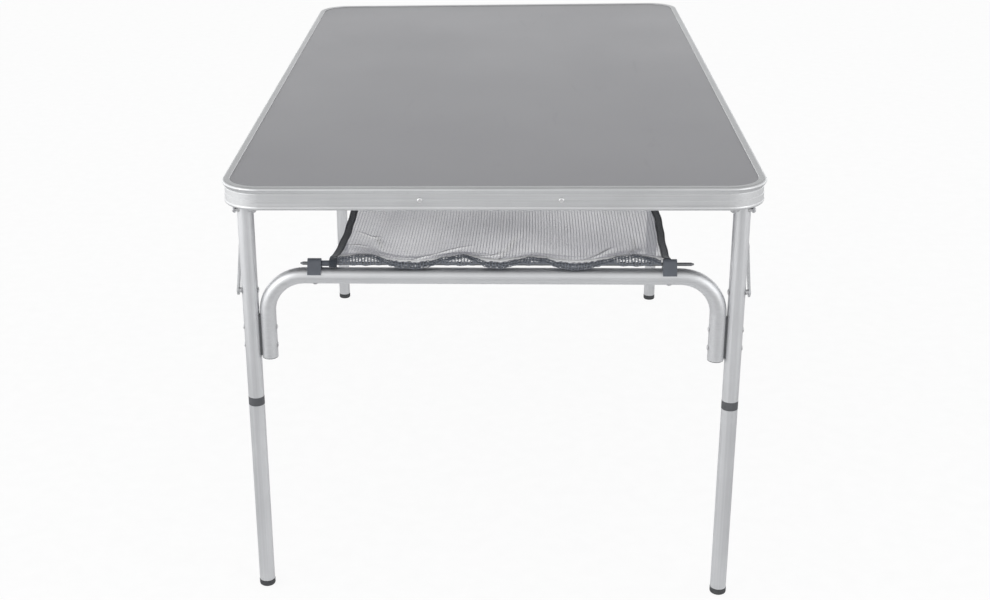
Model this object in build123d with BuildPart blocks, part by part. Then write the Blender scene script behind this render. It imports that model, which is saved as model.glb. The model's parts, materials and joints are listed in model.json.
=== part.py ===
from build123d import *
import math
import os

# Folding camp kitchen table with a net shelf, in millimetres.
# Origin on the floor under the middle of the top, +Z up, the long side along Y.
# "front" is the -Y end, "left" is the -X side. An inset is measured inward from
# the outside of the rim.

os.makedirs("parts", exist_ok=True)

# ---------------------------------------------------------------- clearances
FIT = 0.05  # running clearance
CONTACT_GAP = 0.1  # between pieces that lie against each other
RIM_GAP = 0.5  # between the rim and the edge of a piece inside it
HEAD_GAP = 0.02  # between a rivet head and its tube

# ---------------------------------------------------------------- table top
TOP_LENGTH, TOP_WIDTH, TOP_H = 1400.0, 800.0, 700.0  # overall
CORNER_R = 60.0  # outer corner radius of the rim
RIM_H = 35.0
RIM_FACE_INSET = 3.0  # outer face that the screws and the handle bear on
RIM_WALL_INSET = 5.6  # inner face of the rim wall
LEDGE_INSET = 18.0  # inner edge of the ledge that carries the panel
LEDGE_TOP = TOP_H - 6.3
LEDGE_BOT = TOP_H - 8.0
LIP_INSET, LIP_T = 12.0, 1.2  # lip over the panel
TOE_INSET, TOE_T = 9.0, 1.8  # inward flange at the bottom of the rim
JOINT_INSET, JOINT_CUT = 10.0, 22.0  # centre and length of the butt joint cuts

# Outer face of the rim between its two beads: (inset, depth below the top).
# A long undercut runs to a groove, then a flat face follows in two steps.
RIM_FACE = [
    (0, 3.2), (0.3, 4.4), (3.6, 9.2), (4.1, 9.6), (4.1, 10.4),
    (3.7, 10.9), (3.8, 19.4), (3.1, 20.1), (3.1, 29.6), (2.6, 30.6),
]

SCREW_Z = 681.0  # rail screws
SCREW_R, SCREW_LEN, SCREW_HEAD_R = 2.25, 9.0, 4.2
RAIL_X, RAIL_WIDTH, RAIL_T = 102.0, 30.0, 1.6
RAIL_LOW = 685.2
RAIL_TAB_LOW, RAIL_TAB_T = 672.0, 2.0

HANDLE_Y, HANDLE_Z = 8.0, SCREW_Z - 1
HANDLE_LEN, HANDLE_H, HANDLE_PAD_T = 152.0, 15.0, 2.5
HANDLE_SCREW_OFFSET = 68.0  # from the middle of the handle
HANDLE_SCREWS = [(HANDLE_Y + side * HANDLE_SCREW_OFFSET, HANDLE_Z) for side in (-1, 1)]

# ---------------------------------------------------------------- legs and crossbars
TUBE_D, TUBE_WALL = 25.0, 1.2
TUBE_R = TUBE_D / 2
TUBE_IR = TUBE_R - TUBE_WALL
BORE_LEN = 40.0  # length of a cut right through a tube
LEG_X, LEG_Y = 367.3, 645.0  # leg centre lines
LEG_IN, LEG_OUT = LEG_X - TUBE_R, LEG_X + TUBE_R
LEG_TOP = 665.0  # top end of the upper leg tube
COLLAR_TOP, COLLAR_BOT = 343.0, 329.0
FOOT_H = 11.0

BAR_X, BAR_Z, BAR_BEND, BAR_END = 341.3, 545.0, 59.0, 411.0  # bent-down crossbar
SADDLE_LOW, SADDLE_HIGH = 414.0, 480.0
BAR_RIVET_Z = (430.0, 460.0)
BAR_RIVETS = [(-LEG_Y, z) for z in BAR_RIVET_Z]

PIVOT_R, RIVET_R, SMALL_RIVET_R = 3.0, 2.5, 2.0  # shanks

# ---------------------------------------------------------------- pivots, stays, brackets
PIVOT_Y, PIVOT_Z = 653.0, 652.5  # leg frame pivot
STAY_Z = 520.5  # rivet of the lower stay link on the leg
STAY_TOP_Y, STAY_TOP_Z = 550.5, 660.5  # pivot of the upper stay link under the rim
STAY_UP_X = (381.5, 383.5)  # plane of the upper link
STAY_LOW_X = (383.8, 386.3)  # plane of the lower link

BRACKET_T = 2.5
BRACKET_LOW = LEDGE_BOT - BRACKET_T - CONTACT_GAP  # underside of the bracket plates
CHEEK_X = (351.3, 380.8)  # inner faces of the two cheeks that straddle the leg
CHEEK_WIDTH, CHEEK_TOP = 24.0, LEDGE_BOT - 3.0
PIVOT_BRACKET_Y, PIVOT_BRACKET_OUT = 654.0, 390.2
STAY_BRACKET_OUT = 394.1
# Bracket rivets at the rear right corner: (x, y)
PIVOT_BRACKET_RIVETS = ((387.0, 646.0), (386.6, 660.0))
STAY_BRACKET_RIVETS = ((389.8, 540.0), (389.8, 561.0))
BRACKET_RIVETS = PIVOT_BRACKET_RIVETS + STAY_BRACKET_RIVETS

# ---------------------------------------------------------------- net shelf
CLIP_X, CLIP_WIDTH = 266.0, 20.5
CLIP_LOW = 550.2  # lower edge of the clip on the crossbar
CLIP_RIVET_TOP = 560.0
ROD_Z, ROD_D, ROD_SHIFT, ROD_LEN = 564.5, 5.2, 7.0, 590.0
NET_LEFT, NET_RIGHT = -236.0, 262.0  # net cloth between its edge bindings
NET_Y, NET_Z, NET_T = 520.0, 556.0, 2.0
BIND_WIDTH, BIND_GAP, BIND_EXTRA = 14.0, 0.3, 0.5  # extra thickness on each face

# ---------------------------------------------------------------- stay linkage, worked out
# All points are (y, z) at the front. The leg rivet turns 90 degrees about the leg
# pivot from rest to folded. The two links are straight in line at rest and folded
# back on each other when the leg is up.
STAY_TOP = (-STAY_TOP_Y, STAY_TOP_Z)
RIVET_REST = (-LEG_Y, STAY_Z)
RIVET_FOLDED = (-PIVOT_Y + (PIVOT_Z - STAY_Z), PIVOT_Z + (PIVOT_Y - LEG_Y))
REACH_REST = math.hypot(STAY_TOP[0] - RIVET_REST[0], STAY_TOP[1] - RIVET_REST[1])
REACH_FOLDED = math.hypot(STAY_TOP[0] - RIVET_FOLDED[0], STAY_TOP[1] - RIVET_FOLDED[1])
LOWER_LEN = (REACH_REST - REACH_FOLDED) / 2
UPPER_LEN = (REACH_REST + REACH_FOLDED) / 2
STAY_DIR = (
    (STAY_TOP[0] - RIVET_REST[0]) / REACH_REST,
    (STAY_TOP[1] - RIVET_REST[1]) / REACH_REST,
)
KNEE = (RIVET_REST[0] + LOWER_LEN * STAY_DIR[0], RIVET_REST[1] + LOWER_LEN * STAY_DIR[1])


# ---------------------------------------------------------------- helpers
def save(name, part):
    part.label = name
    export_step(part, f"parts/{name}.step")


def mirrored(shape, plane):
    with BuildPart() as image:
        mirror(shape, about=plane)
    return image.part


def left_and_right(shape):
    with BuildPart() as pair:
        add(shape)
        mirror(shape, about=Plane.YZ)
    return pair.part


def at_four_corners(shape):
    with BuildPart() as four:
        add(left_and_right(shape))
        mirror(four.part, about=Plane.XZ)
    return four.part


def save_both_ends(name, front):
    """Save a piece of the front frame and its mirror image on the rear frame."""
    save(f"front_{name}", front)
    save(f"rear_{name}", mirrored(front, Plane.XZ))


def save_every_leg(name, front_right):
    save_both_ends(f"{name}_right", front_right)
    save_both_ends(f"{name}_left", mirrored(front_right, Plane.YZ))


def corner_points(points):
    """The (x, y) points repeated in all four quadrants."""
    return [(sx * x, sy * y) for sx in (-1, 1) for sy in (-1, 1) for x, y in points]


def turned(points, origin, direction, toward):
    """Solid of revolution about the line through origin; the points are (along, radius)."""
    normal = Vector(direction).cross(Vector(toward))
    plane = Plane(origin=origin, x_dir=direction, z_dir=normal)
    with BuildPart() as piece:
        with BuildSketch(plane):
            with BuildLine():
                Polyline(*points, close=True)
            make_face()
        revolve(axis=Axis(origin, direction))
    return piece.part


def along_x(points, y, z):
    return turned(points, (0, y, z), (1, 0, 0), (0, 0, 1))


def along_z(points, x, y):
    return turned(points, (x, y, 0), (0, 0, 1), (1, 0, 0))


def dome(start, rise, radius):
    """Outline of a low rounded head that begins at start and rises by rise (either sign)."""
    return [
        (start, radius), (start + 0.3 * rise, 0.97 * radius), (start + 0.65 * rise, 0.8 * radius),
        (start + 0.9 * rise, 0.5 * radius), (start + rise, 0.2 * radius), (start + rise, 0),
    ]


def cross_screw(head_h):
    """Pan-head screw along +Z, the head's underside at z = 0, with a cross recess."""
    slot_len, slot_width, slot_depth = 4.2, 0.9, 1.2
    with BuildPart() as screw:
        with BuildSketch(Plane.XZ):
            with BuildLine():
                Polyline(
                    (0, -SCREW_LEN), (1.6, -SCREW_LEN), (SCREW_R, -SCREW_LEN + 0.8),
                    (SCREW_R, 0), (SCREW_HEAD_R, 0), (SCREW_HEAD_R, 0.35 * head_h),
                    (0.86 * SCREW_HEAD_R, 0.75 * head_h), (0.55 * SCREW_HEAD_R, head_h),
                    (0, head_h), close=True,
                )
            make_face()
        revolve(axis=Axis.Z)
        with BuildSketch(Plane.XY.offset(head_h - slot_depth)):
            Rectangle(slot_len, slot_width)
            Rectangle(slot_width, slot_len)
        extrude(amount=2, mode=Mode.SUBTRACT)
    return screw.part


# ---------------------------------------------------------------- rim
half_width, half_length = TOP_WIDTH / 2, TOP_LENGTH / 2
corner_x, corner_y = half_width - CORNER_R, half_length - CORNER_R
rim_bottom, toe_top = TOP_H - RIM_H, TOP_H - RIM_H + TOE_T
rim_face = [(inset, TOP_H - depth) for inset, depth in RIM_FACE]

with BuildPart() as rim_frame:
    with BuildLine() as rim_path:
        Line((half_width, 0), (half_width, corner_y))
        CenterArc((corner_x, corner_y), CORNER_R, 0, 90)
        Line((corner_x, half_length), (-corner_x, half_length))
        CenterArc((-corner_x, corner_y), CORNER_R, 90, 90)
        Line((-half_width, corner_y), (-half_width, -corner_y))
        CenterArc((-corner_x, -corner_y), CORNER_R, 180, 90)
        Line((-corner_x, -half_length), (corner_x, -half_length))
        CenterArc((corner_x, -corner_y), CORNER_R, 270, 90)
        Line((half_width, -corner_y), (half_width, 0))
    # section drawn as (inset, z)
    with BuildSketch(Plane(origin=(half_width, 0, 0), x_dir=(-1, 0, 0), z_dir=(0, 1, 0))):
        with BuildLine():
            # thin top bead, outer face, rounded bottom bead, then the inside
            ThreePointArc((4.2, TOP_H), (1.56, TOP_H - 0.891), rim_face[0])
            Polyline(*rim_face)
            ThreePointArc(rim_face[-1], (2.9, TOP_H - 33.6), (5.0, rim_bottom))
            Polyline(
                (5.0, rim_bottom), (TOE_INSET, rim_bottom), (TOE_INSET, toe_top),
                (RIM_WALL_INSET, toe_top), (RIM_WALL_INSET, LEDGE_BOT),
                (LEDGE_INSET, LEDGE_BOT), (LEDGE_INSET, LEDGE_TOP),
                (RIM_WALL_INSET, LEDGE_TOP), (RIM_WALL_INSET, TOP_H - LIP_T),
                (LIP_INSET, TOP_H - LIP_T), (LIP_INSET, TOP_H - 0.5),
                (LIP_INSET - 0.5, TOP_H), (4.2, TOP_H),
            )
        make_face()
    sweep(path=rim_path.wires()[0])
    # butt joint of the bent extrusion, behind the handle
    with BuildSketch(Plane.XY.offset(rim_bottom - 1)):
        with Locations((-half_width + JOINT_INSET, HANDLE_Y)):
            Rectangle(JOINT_CUT, 0.4)
    extrude(amount=RIM_H + 2, mode=Mode.SUBTRACT)
    # butt joints between the straight sides and the bent ends
    with BuildSketch(Plane.XY.offset(rim_bottom - 1)):
        with Locations(*corner_points([(half_width - JOINT_INSET, corner_y)])):
            Rectangle(JOINT_CUT, 0.1)
    extrude(amount=RIM_H + 2, mode=Mode.SUBTRACT)
    # rail screw holes
    with BuildSketch(Plane.XZ.offset(-half_length - 5)):
        with Locations((RAIL_X, SCREW_Z), (-RAIL_X, SCREW_Z)):
            Circle(SCREW_R + FIT)
    extrude(amount=TOP_LENGTH + 10, mode=Mode.SUBTRACT)
    # handle screw holes
    with BuildSketch(Plane.YZ.offset(-half_width - 5)):
        with Locations(*HANDLE_SCREWS):
            Circle(SCREW_R + FIT)
    extrude(amount=20, mode=Mode.SUBTRACT)
    # bracket rivet holes in the ledge
    with BuildSketch(Plane.XY.offset(LEDGE_BOT - 1)):
        with Locations(*corner_points(BRACKET_RIVETS)):
            Circle(SMALL_RIVET_R + FIT)
    extrude(amount=4, mode=Mode.SUBTRACT)
save("rim_frame", rim_frame.part)

# ---------------------------------------------------------------- panel
panel_inset = RIM_WALL_INSET + RIM_GAP
panel_low = LEDGE_TOP + CONTACT_GAP
with BuildPart() as top_panel:
    with BuildSketch(Plane.XY.offset(panel_low)):
        RectangleRounded(
            TOP_WIDTH - 2 * panel_inset, TOP_LENGTH - 2 * panel_inset, CORNER_R - panel_inset
        )
    extrude(amount=TOP_H - LIP_T - CONTACT_GAP - panel_low)
save("top_panel", top_panel.part)

# ---------------------------------------------------------------- splice plate inside the rim
with BuildPart() as rim_splice:
    with BuildSketch(Plane.YZ.offset(-half_width + RIM_WALL_INSET + CONTACT_GAP)):
        with Locations((HANDLE_Y, HANDLE_Z)):
            RectangleRounded(HANDLE_LEN - 4, 18, 3)
        with Locations(*HANDLE_SCREWS):
            Circle(SCREW_R + FIT, mode=Mode.SUBTRACT)
    extrude(amount=2.0)
save("rim_splice", rim_splice.part)

# ---------------------------------------------------------------- carry handle
# flexible strap: two pads against the rim and a raised middle
handle_front, handle_rear = HANDLE_Y - HANDLE_LEN / 2, HANDLE_Y + HANDLE_LEN / 2
handle_seat = -half_width + RIM_FACE_INSET
pad_face = handle_seat - HANDLE_PAD_T
grip_outer, grip_inner = handle_seat - 5.7, handle_seat - 3.3
with BuildPart() as carry_handle:
    with BuildSketch(Plane.XY.offset(HANDLE_Z - HANDLE_H / 2)):
        with BuildLine():
            Polyline(
                (handle_seat, handle_front), (handle_seat - 1.6, handle_front),
                (pad_face, handle_front + 1.5), (pad_face, handle_front + 16),
                (grip_outer, handle_front + 34), (grip_outer, handle_rear - 26),
                (pad_face, handle_rear - 16), (pad_face, handle_rear - 1.5),
                (handle_seat - 1.6, handle_rear), (handle_seat, handle_rear),
                (handle_seat, handle_rear - 17), (grip_inner, handle_rear - 28),
                (grip_inner, handle_front + 35), (handle_seat, handle_front + 17),
                close=True,
            )
        make_face()
    extrude(amount=HANDLE_H)
    with BuildSketch(Plane.YZ.offset(-half_width - 12)):
        with Locations(*HANDLE_SCREWS):
            Circle(SCREW_R + FIT)
    extrude(amount=20, mode=Mode.SUBTRACT)
save("carry_handle", carry_handle.part)

# ---------------------------------------------------------------- screws
# the last rotation of each screw turns its cross recess
rail_screw = cross_screw(head_h=2.1)
handle_screw = cross_screw(head_h=1.6)
screw_seat_y = half_length - RIM_FACE_INSET
with BuildPart() as rail_screws:
    for sx in (-1, 1):
        spin = Rot(0, 0, 20 + 25 * sx)
        add(Pos(sx * RAIL_X, -screw_seat_y, SCREW_Z) * Rot(90, 0, 0) * spin * rail_screw)
        spin = Rot(0, 0, 35 * sx)
        add(Pos(sx * RAIL_X, screw_seat_y, SCREW_Z) * Rot(-90, 0, 0) * spin * rail_screw)
save("rail_screws", rail_screws.part)

with BuildPart() as handle_screws:
    for offset in (-HANDLE_SCREW_OFFSET, HANDLE_SCREW_OFFSET):
        seat = Pos(pad_face - FIT, HANDLE_Y + offset, HANDLE_Z)
        add(seat * Rot(0, -90, 0) * Rot(0, 0, offset / 3) * handle_screw)
save("handle_screws", handle_screws.part)

# ---------------------------------------------------------------- support rails
# U-channels under the panel, with a tab at each end for the rim screw
channel_end = half_length - LEDGE_INSET - RIM_GAP
tab_start = half_length - LEDGE_INSET - 4
tab_end = half_length - RIM_WALL_INSET - CONTACT_GAP
rail_left, rail_right = RAIL_X - RAIL_WIDTH / 2, RAIL_X + RAIL_WIDTH / 2
rail_floor = RAIL_LOW + RAIL_T
with BuildPart() as support_rail_right:
    with BuildSketch(Plane.XZ.offset(channel_end)):
        with BuildLine():
            Polyline(
                (rail_left, RAIL_LOW), (rail_right, RAIL_LOW), (rail_right, LEDGE_TOP),
                (rail_right - RAIL_T, LEDGE_TOP), (rail_right - RAIL_T, rail_floor),
                (rail_left + RAIL_T, rail_floor), (rail_left + RAIL_T, LEDGE_TOP),
                (rail_left, LEDGE_TOP), close=True,
            )
        make_face()
    extrude(amount=-2 * channel_end)
    with BuildSketch(Plane.YZ.offset(rail_left)):
        for sy in (-1, 1):
            with BuildLine():
                Polyline(
                    (sy * tab_start, RAIL_LOW), (sy * (tab_end - RAIL_TAB_T), RAIL_LOW),
                    (sy * (tab_end - RAIL_TAB_T), RAIL_TAB_LOW), (sy * tab_end, RAIL_TAB_LOW),
                    (sy * tab_end, rail_floor), (sy * tab_start, rail_floor), close=True,
                )
            make_face()
    extrude(amount=RAIL_WIDTH)
    with BuildSketch(Plane.XZ.offset(-half_length - 5)):
        with Locations((RAIL_X, SCREW_Z)):
            Circle(SCREW_R + FIT)
    extrude(amount=TOP_LENGTH + 10, mode=Mode.SUBTRACT)
save("support_rail_right", support_rail_right.part)
save("support_rail_left", mirrored(support_rail_right.part, Plane.YZ))

# ---------------------------------------------------------------- leg pivots
# a bridge under the ledge with two cheeks that straddle the leg
with BuildPart() as pivot_bracket:
    with BuildSketch(Plane.XY.offset(BRACKET_LOW)):
        with Locations(((CHEEK_X[0] + PIVOT_BRACKET_OUT) / 2, -PIVOT_BRACKET_Y)):
            Rectangle(PIVOT_BRACKET_OUT - CHEEK_X[0], 27)
        # rounded to follow the inside of the rim corner
        with Locations((corner_x, -corner_y)):
            Circle(CORNER_R - RIM_WALL_INSET - RIM_GAP, mode=Mode.INTERSECT)
        with Locations(*[(x, -y) for x, y in PIVOT_BRACKET_RIVETS]):
            Circle(SMALL_RIVET_R + FIT, mode=Mode.SUBTRACT)
    extrude(amount=BRACKET_T)
    for cheek_x in CHEEK_X:
        with BuildSketch(Plane.YZ.offset(cheek_x)):
            with Locations((-PIVOT_Y, PIVOT_Z)):
                Circle(4.7)
            with Locations((-PIVOT_BRACKET_Y, CHEEK_TOP)):
                Rectangle(CHEEK_WIDTH, 1)
            make_hull()
            with Locations((-PIVOT_Y, PIVOT_Z)):
                Circle(PIVOT_R + FIT, mode=Mode.SUBTRACT)
        extrude(amount=BRACKET_T)
save("pivot_brackets", at_four_corners(pivot_bracket.part))

pin_in = CHEEK_X[0] - CONTACT_GAP
pin_out = CHEEK_X[1] + BRACKET_T + CONTACT_GAP
pivot_pin = along_x(
    dome(pin_in, -2.5, 3.9)[::-1] + [(pin_in, PIVOT_R), (pin_out, PIVOT_R)]
    + dome(pin_out, 2.2, 3.9),
    -PIVOT_Y, PIVOT_Z,
)
save("pivot_pins", at_four_corners(pivot_pin))

# ---------------------------------------------------------------- stay brackets
# a flange under the ledge and one cheek
with BuildPart() as stay_bracket:
    with BuildSketch(Plane.XY.offset(BRACKET_LOW)):
        with Locations(((STAY_LOW_X[0] + STAY_BRACKET_OUT) / 2, -STAY_TOP_Y)):
            Rectangle(STAY_BRACKET_OUT - STAY_LOW_X[0], 30)
        with Locations(*[(x, -y) for x, y in STAY_BRACKET_RIVETS]):
            Circle(SMALL_RIVET_R + FIT, mode=Mode.SUBTRACT)
    extrude(amount=BRACKET_T)
    with BuildSketch(Plane.YZ.offset(STAY_LOW_X[0])):
        with Locations(STAY_TOP):
            Circle(8.0)
        with Locations((-STAY_TOP_Y, CHEEK_TOP)):
            Rectangle(CHEEK_WIDTH, 1)
        make_hull()
        with Locations(STAY_TOP):
            Circle(RIVET_R + FIT, mode=Mode.SUBTRACT)
    extrude(amount=BRACKET_T)
save("stay_brackets", at_four_corners(stay_bracket.part))

# outer end shared by all the stay rivets: end of the shank, then a rounded head
stay_head_x = STAY_LOW_X[1] + FIT
STAY_RIVET_END = [(stay_head_x, RIVET_R)] + dome(stay_head_x, 1.55, 4.5)


def plain_stay_rivet(start, y, z):
    return along_x([(start, 0), (start, RIVET_R)] + STAY_RIVET_END, y, z)


save("stay_pivot_rivets", at_four_corners(plain_stay_rivet(STAY_UP_X[0], *STAY_TOP)))

# bracket rivet, low head under the bracket: (z, radius)
rivet_seat = BRACKET_LOW - FIT
bracket_rivet = [
    (LEDGE_BOT - 4.1, 0), (LEDGE_BOT - 4.1, SMALL_RIVET_R), (LEDGE_BOT - 3.4, 2.9),
    (rivet_seat, 2.95), (rivet_seat, SMALL_RIVET_R),
    (LEDGE_TOP - FIT, SMALL_RIVET_R), (LEDGE_TOP - FIT, 0),
]
with BuildPart() as bracket_rivets:
    for x, y in corner_points(BRACKET_RIVETS):
        add(along_z(bracket_rivet, x, y))
save("bracket_rivets", bracket_rivets.part)

# ---------------------------------------------------------------- net cloth and bindings
with BuildPart() as storage_net:
    with BuildSketch(Plane.XY.offset(NET_Z)):
        with Locations(((NET_LEFT + NET_RIGHT) / 2, 0)):
            Rectangle(NET_RIGHT - NET_LEFT, 2 * NET_Y)
    extrude(amount=NET_T)
save("storage_net", storage_net.part)

for side, edge_x, outward in (("left", NET_LEFT, -1), ("right", NET_RIGHT, 1)):
    with BuildPart() as net_binding:
        with BuildSketch(Plane.XY.offset(NET_Z - BIND_EXTRA)):
            with Locations((edge_x + outward * (BIND_GAP + BIND_WIDTH / 2), 0)):
                Rectangle(BIND_WIDTH, 2 * NET_Y)
        extrude(amount=NET_T + 2 * BIND_EXTRA)
    save(f"net_binding_{side}", net_binding.part)

# ---------------------------------------------------------------- upper legs
# From here on each piece is drawn for the front frame and mirrored for the rear one.
with BuildPart() as leg_tube:
    with BuildSketch(Plane.XY.offset(COLLAR_TOP + FIT)):
        with Locations((LEG_X, -LEG_Y)):
            Circle(TUBE_R)
            Circle(TUBE_IR, mode=Mode.SUBTRACT)
    extrude(amount=LEG_TOP - COLLAR_TOP - FIT)
    with BuildSketch(Plane.YZ.offset(LEG_X - BORE_LEN / 2)):
        with Locations((-PIVOT_Y, PIVOT_Z)):
            Circle(PIVOT_R + 0.2)
        with Locations(*BAR_RIVETS, RIVET_REST):
            Circle(RIVET_R + FIT)
    extrude(amount=BORE_LEN, mode=Mode.SUBTRACT)
save_every_leg("leg_tube", leg_tube.part)

head_plug_low, head_seat = 630.0, LEG_TOP + FIT
head_plug_blank = along_z(
    [
        (head_plug_low, 0), (head_plug_low, TUBE_IR - 1.0), (head_plug_low + 2, TUBE_IR - FIT),
        (head_seat, TUBE_IR - FIT), (head_seat, TUBE_R), (LEG_TOP + 1.4, TUBE_R),
        (LEG_TOP + 2.6, TUBE_R - 1.6), (LEG_TOP + 2.6, 0),
    ],
    LEG_X, -LEG_Y,
)
with BuildPart() as head_plug:
    add(head_plug_blank)
    with BuildSketch(Plane.YZ.offset(LEG_X - BORE_LEN / 2)):
        with Locations((-PIVOT_Y, PIVOT_Z)):
            Circle(PIVOT_R + FIT)
    extrude(amount=BORE_LEN, mode=Mode.SUBTRACT)
save_both_ends("leg_head_plugs", left_and_right(head_plug.part))

# ---------------------------------------------------------------- crossbar
with BuildPart() as crossbar:
    with BuildLine() as bar_path:
        FilletPolyline(
            (-BAR_X, -LEG_Y, BAR_END), (-BAR_X, -LEG_Y, BAR_Z),
            (BAR_X, -LEG_Y, BAR_Z), (BAR_X, -LEG_Y, BAR_END), radius=BAR_BEND,
        )
    with BuildSketch(Plane(origin=(-BAR_X, -LEG_Y, BAR_END), x_dir=(1, 0, 0), z_dir=(0, 0, 1))):
        Circle(TUBE_R)
        Circle(TUBE_IR, mode=Mode.SUBTRACT)
    sweep(path=bar_path.wires()[0])
    for sx in (-1, 1):
        with BuildSketch(Plane.YZ.offset(sx * BAR_X - BORE_LEN / 2)):
            with Locations(*BAR_RIVETS):
                Circle(RIVET_R + FIT)
        extrude(amount=BORE_LEN, mode=Mode.SUBTRACT)
    with BuildSketch(Plane.XY.offset(BAR_Z - BORE_LEN / 2)):
        with Locations((CLIP_X, -LEG_Y), (-CLIP_X, -LEG_Y)):
            Circle(SMALL_RIVET_R + FIT)
    extrude(amount=BORE_LEN, mode=Mode.SUBTRACT)
save_both_ends("crossbar", crossbar.part)

end_plug = along_z(
    [
        (BAR_END - 1.6, 0), (BAR_END - 1.6, TUBE_R - 1.2), (BAR_END - 1.0, TUBE_R - 0.3),
        (BAR_END - FIT, TUBE_R - 0.3), (BAR_END - FIT, TUBE_IR - FIT),
        (BAR_END + 13, TUBE_IR - FIT), (BAR_END + 14.5, TUBE_IR - 1.2), (BAR_END + 14.5, 0),
    ],
    BAR_X, -LEG_Y,
)
save_both_ends("crossbar_end_plugs", left_and_right(end_plug))

# saddle spacer between leg and crossbar end, hollowed to both tubes
with BuildPart() as saddle:
    with BuildSketch(Plane.XY.offset(SADDLE_LOW)):
        with Locations(((LEG_X + BAR_X) / 2, -LEG_Y)):
            Rectangle(LEG_X - BAR_X - 6, 10)
        with Locations((LEG_X, -LEG_Y), (BAR_X, -LEG_Y)):
            Circle(TUBE_R + FIT, mode=Mode.SUBTRACT)
    extrude(amount=SADDLE_HIGH - SADDLE_LOW)
    with BuildSketch(Plane.YZ.offset(BAR_X - 5)):
        with Locations(*BAR_RIVETS):
            Circle(RIVET_R + FIT)
    extrude(amount=BORE_LEN, mode=Mode.SUBTRACT)
save_both_ends("crossbar_saddles", left_and_right(saddle.part))

# ---------------------------------------------------------------- rivets through the leg
# through crossbar end, saddle and leg
rivet_in, rivet_out = BAR_X - TUBE_R - HEAD_GAP, LEG_OUT + HEAD_GAP
leg_rivet = (
    dome(rivet_in, -1.4, 4.0)[::-1] + [(rivet_in, RIVET_R), (rivet_out, RIVET_R)]
    + dome(rivet_out, 1.38, 4.0)
)
with BuildPart() as leg_rivets:
    for z in BAR_RIVET_Z:
        add(along_x(leg_rivet, -LEG_Y, z))
save_both_ends("leg_rivets", left_and_right(leg_rivets.part))

# through the leg and the lower link, with a shoulder that spaces them
shoulder_r, shoulder_in, shoulder_out = 4.0, LEG_OUT + 0.03, STAY_LOW_X[0] - FIT
stay_rivet = along_x(
    dome(LEG_IN - HEAD_GAP, -1.6, 4.5)[::-1]
    + [
        (LEG_IN - HEAD_GAP, RIVET_R), (shoulder_in, RIVET_R), (shoulder_in, shoulder_r),
        (shoulder_out, shoulder_r), (shoulder_out, RIVET_R),
    ]
    + STAY_RIVET_END,
    *RIVET_REST,
)
save_both_ends("stay_rivets", left_and_right(stay_rivet))

# ---------------------------------------------------------------- net clips, rod and hem
# clip: a loop round the rod that widens into a saddle on the crossbar
with BuildPart() as net_clip:
    with BuildSketch(Plane.YZ.offset(CLIP_X - CLIP_WIDTH / 2)):
        with Locations((-LEG_Y, ROD_Z + 1.4)):
            Circle(6.4)
        with Locations((-LEG_Y, BAR_Z)):
            Circle(TUBE_R + 2.2)
        make_hull()
        with Locations((-LEG_Y, CLIP_LOW - 20)):
            Rectangle(60, 40, mode=Mode.SUBTRACT)
        with Locations((-LEG_Y, BAR_Z)):
            Circle(TUBE_R + FIT, mode=Mode.SUBTRACT)
        with Locations((-LEG_Y, ROD_Z)):
            Circle(ROD_D / 2 + FIT, mode=Mode.SUBTRACT)
    extrude(amount=CLIP_WIDTH)
    with BuildSketch(Plane.XY.offset(BAR_Z)):
        with Locations((CLIP_X, -LEG_Y)):
            Circle(SMALL_RIVET_R + FIT)
    extrude(amount=CLIP_RIVET_TOP + CONTACT_GAP - BAR_Z, mode=Mode.SUBTRACT)
save_both_ends("net_clips", left_and_right(net_clip.part))

clip_rivet_seat = BAR_Z - TUBE_R - HEAD_GAP
clip_rivet = along_z(
    dome(clip_rivet_seat, -1.9, 4.0)[::-1]
    + [(clip_rivet_seat, SMALL_RIVET_R), (CLIP_RIVET_TOP, SMALL_RIVET_R), (CLIP_RIVET_TOP, 0)],
    CLIP_X, -LEG_Y,
)
save_both_ends("clip_rivets", left_and_right(clip_rivet))

# rod with pointed ends
rod_left, rod_right = ROD_SHIFT - ROD_LEN / 2, ROD_SHIFT + ROD_LEN / 2
net_rod = along_x(
    [
        (rod_left, 0), (rod_left + 0.6, 1.2), (rod_left + 4.5, ROD_D / 2),
        (rod_right - 4.5, ROD_D / 2), (rod_right - 0.6, 1.2), (rod_right, 0),
    ],
    -LEG_Y, ROD_Z,
)
save_both_ends("net_rod", net_rod)

# sleeve on the rod beside the left clip
stop_left = -CLIP_X + CLIP_WIDTH / 2 + 0.4
stop_right = stop_left + 13.4
stop_bore = ROD_D / 2 + FIT
rod_stop = along_x(
    [
        (stop_left, stop_bore), (stop_left, 3.9), (stop_left + 1, 4.3),
        (stop_right - 1, 4.3), (stop_right, 3.9), (stop_right, stop_bore),
    ],
    -LEG_Y, ROD_Z,
)
save_both_ends("rod_stop", rod_stop)

with BuildPart() as net_hem:
    with BuildSketch(Plane.YZ.offset(NET_LEFT - 2.0)):
        with Locations((-LEG_Y + 2.0, 563.9)):
            RectangleRounded(22, 11.4, 4.5)
        with Locations((-LEG_Y, ROD_Z)):
            Circle(ROD_D / 2 + 0.3, mode=Mode.SUBTRACT)
    extrude(amount=CLIP_X - CLIP_WIDTH / 2 - 1.0 - NET_LEFT)
save_both_ends("net_hem", net_hem.part)

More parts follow.
